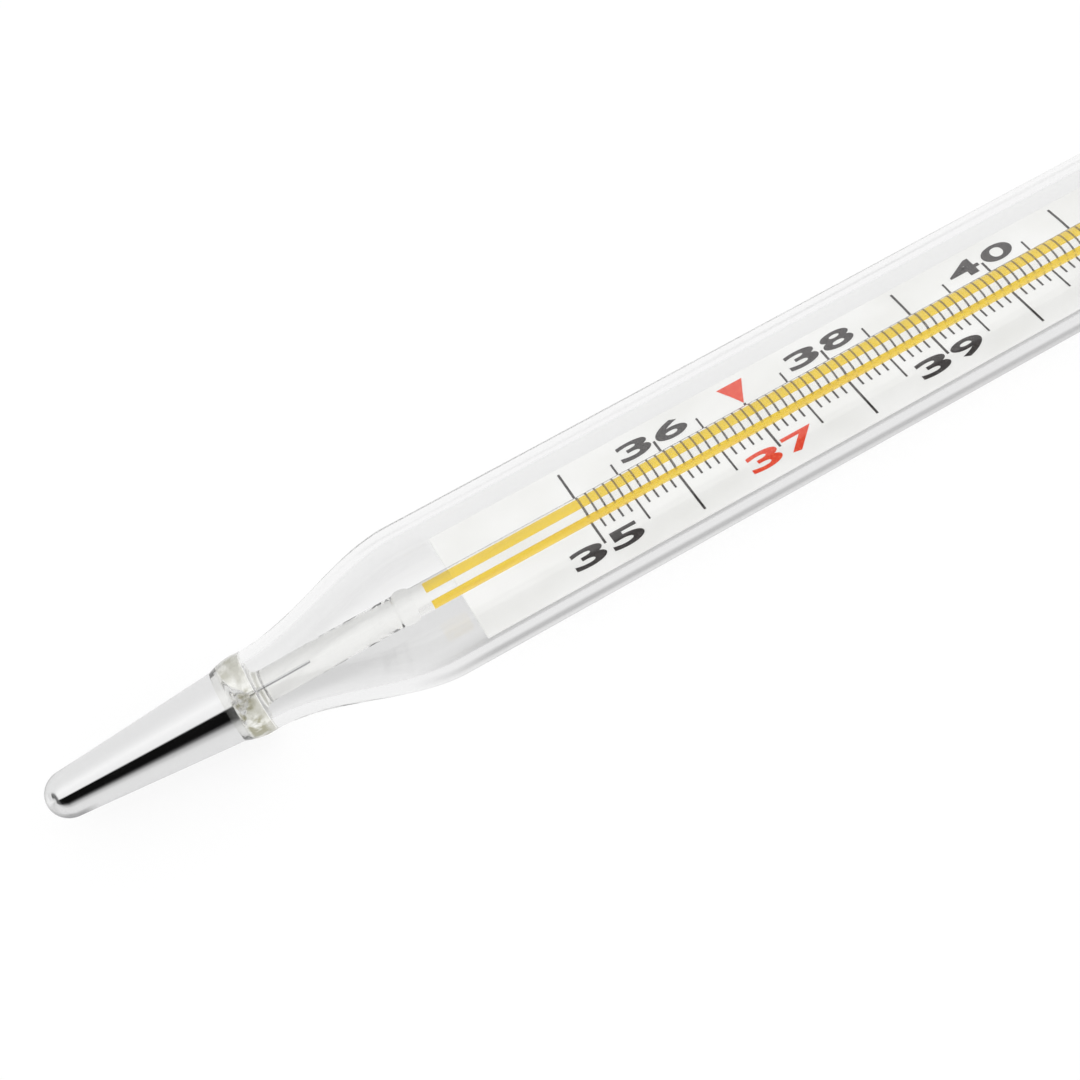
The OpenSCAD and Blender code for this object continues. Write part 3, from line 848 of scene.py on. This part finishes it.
def floor_paint(p):
    """White studio floor that keeps a soft shadow, and the painted shade and light of it that mirrors and glass show.
    """
    finish, tree = new_finish("white_floor_painted_shade_in_glass")
    rays = add_node(tree, "ShaderNodeLightPath")
    across, along = across_mm(tree), across_mm(tree, "X")
    # Painted shade along the near edge and under the tip, and painted shade and light across the floor, which only
    # mirrors and glass see.
    beside = picked(tree, levels(tree, along, EDGE_PAINTED_SHADE_SPAN), 1.0, levels(tree, across, EDGE_PAINTED_SHADE))
    under = picked(tree, levels(tree, across, TIP_PAINTED_SHADE_SPAN), 1.0, levels(tree, along, TIP_PAINTED_SHADE))
    shade = add_node(tree, "ShaderNodeMath", {0: beside, 1: under}, operation="MULTIPLY").outputs[0]
    shade = add_node(tree, "ShaderNodeMath", {0: shade, 1: levels(tree, across, FLOOR_PAINTED_IN_GLASS)}, operation="MULTIPLY")
    mirrored = seen_in_glass(tree, rays)
    share = picked(tree, rays.outputs["Is Camera Ray"], mirrored, p.floor_glow)
    # Mirrors and glass see the floor as a glow at that painted level; the camera sees it white.
    level = picked(tree, mirrored, 1.0, shade.outputs[0])
    paint = add_node(tree, "ShaderNodeBsdfDiffuse", {"Color": (FLOOR_WHITE, FLOOR_WHITE, FLOOR_WHITE, 1)})
    glow = add_node(tree, "ShaderNodeEmission", {"Color": (1, 1, 1, 1), "Strength": level})
    both = add_node(tree, "ShaderNodeMixShader", {
        0: share, 1: paint.outputs["BSDF"], 2: glow.outputs["Emission"]})
    add_node(tree, "ShaderNodeOutputMaterial", {"Surface": both.outputs["Shader"]})
    return finish


class THERMOMETER_OT_stage(bpy.types.Operator):
    """Makes the white floor, the light and the camera"""
    bl_idname = "thermometer.stage"
    bl_label = "Stage"

    def execute(self, context):
        scene = context.scene
        p = scene.thermometer_stage
        bm = bmesh.new()
        bmesh.ops.create_grid(bm, x_segments=1, y_segments=1, size=p.floor / 2)
        mesh = bpy.data.meshes.new("floor")
        bm.to_mesh(mesh)
        bm.free()
        mesh.materials.append(floor_paint(p))
        floor = bpy.data.objects.new("floor", mesh)
        floor.location.z = -FLOOR_GAP
        scene.collection.objects.link(floor)
        light_sky(scene, p)
        lens = bpy.data.cameras.new("camera")
        lens.lens = p.focal
        lens.sensor_width = SENSOR
        lens.clip_start, lens.clip_end = SIGHT
        camera = bpy.data.objects.new("camera", lens)
        camera.location = p.camera_place
        camera.rotation_euler = Euler(p.camera_turn)
        scene.collection.objects.link(camera)
        scene.camera = camera
        scene.view_settings.view_transform = "Standard"
        scene.cycles.max_bounces = ALL_BOUNCES
        scene.cycles.transmission_bounces = GLASS_BOUNCES
        scene.cycles.glossy_bounces = GLASS_BOUNCES
        return {"FINISHED"}


class THERMOMETER_PT_build(bpy.types.Panel):
    """Lists the steps that build the thermometer, and its sizes"""
    bl_label = "Fever Thermometer"
    bl_idname = "THERMOMETER_PT_build"
    bl_space_type = "VIEW_3D"
    bl_region_type = "UI"
    bl_category = "Thermometer"

    def draw(self, context):
        for step in STEPS:
            self.layout.operator(step.bl_idname)
        for name, group in GROUPS.items():
            values = getattr(context.scene, name)
            box = self.layout.box()
            for key in group.__annotations__:
                box.prop(values, key)


GROUPS = {
    "thermometer_glass": THERMOMETER_PG_glass,
    "thermometer_mercury": THERMOMETER_PG_mercury,
    "thermometer_scale": THERMOMETER_PG_scale,
    "thermometer_colours": THERMOMETER_PG_colours,
    "thermometer_stage": THERMOMETER_PG_stage,
}
STEPS = (
    THERMOMETER_OT_stage, THERMOMETER_OT_bulb, THERMOMETER_OT_neck, THERMOMETER_OT_sheath,
    THERMOMETER_OT_capillaries, THERMOMETER_OT_thread, THERMOMETER_OT_plate, THERMOMETER_OT_print,
    THERMOMETER_OT_stripes, THERMOMETER_OT_numerals,
)


def register():
    """Registers the groups, the steps and the panel."""
    for name, group in GROUPS.items():
        bpy.utils.register_class(group)
        setattr(bpy.types.Scene, name, PointerProperty(type=group))
    for step in (*STEPS, THERMOMETER_PT_build):
        bpy.utils.register_class(step)


def unregister():
    """Takes away all that register added."""
    for step in reversed((*STEPS, THERMOMETER_PT_build)):
        bpy.utils.unregister_class(step)
    for name, group in GROUPS.items():
        delattr(bpy.types.Scene, name)
        bpy.utils.unregister_class(group)


def main():
    """Builds every piece in order."""
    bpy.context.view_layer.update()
    register()
    bpy.ops.thermometer.stage()
    bpy.ops.thermometer.bulb()
    bpy.ops.thermometer.neck()
    bpy.ops.thermometer.sheath()
    bpy.ops.thermometer.capillaries()
    bpy.ops.thermometer.thread()
    bpy.ops.thermometer.plate()
    bpy.ops.thermometer.print()
    bpy.ops.thermometer.stripes()
    bpy.ops.thermometer.numerals()


if __name__ == "__main__":
    main()
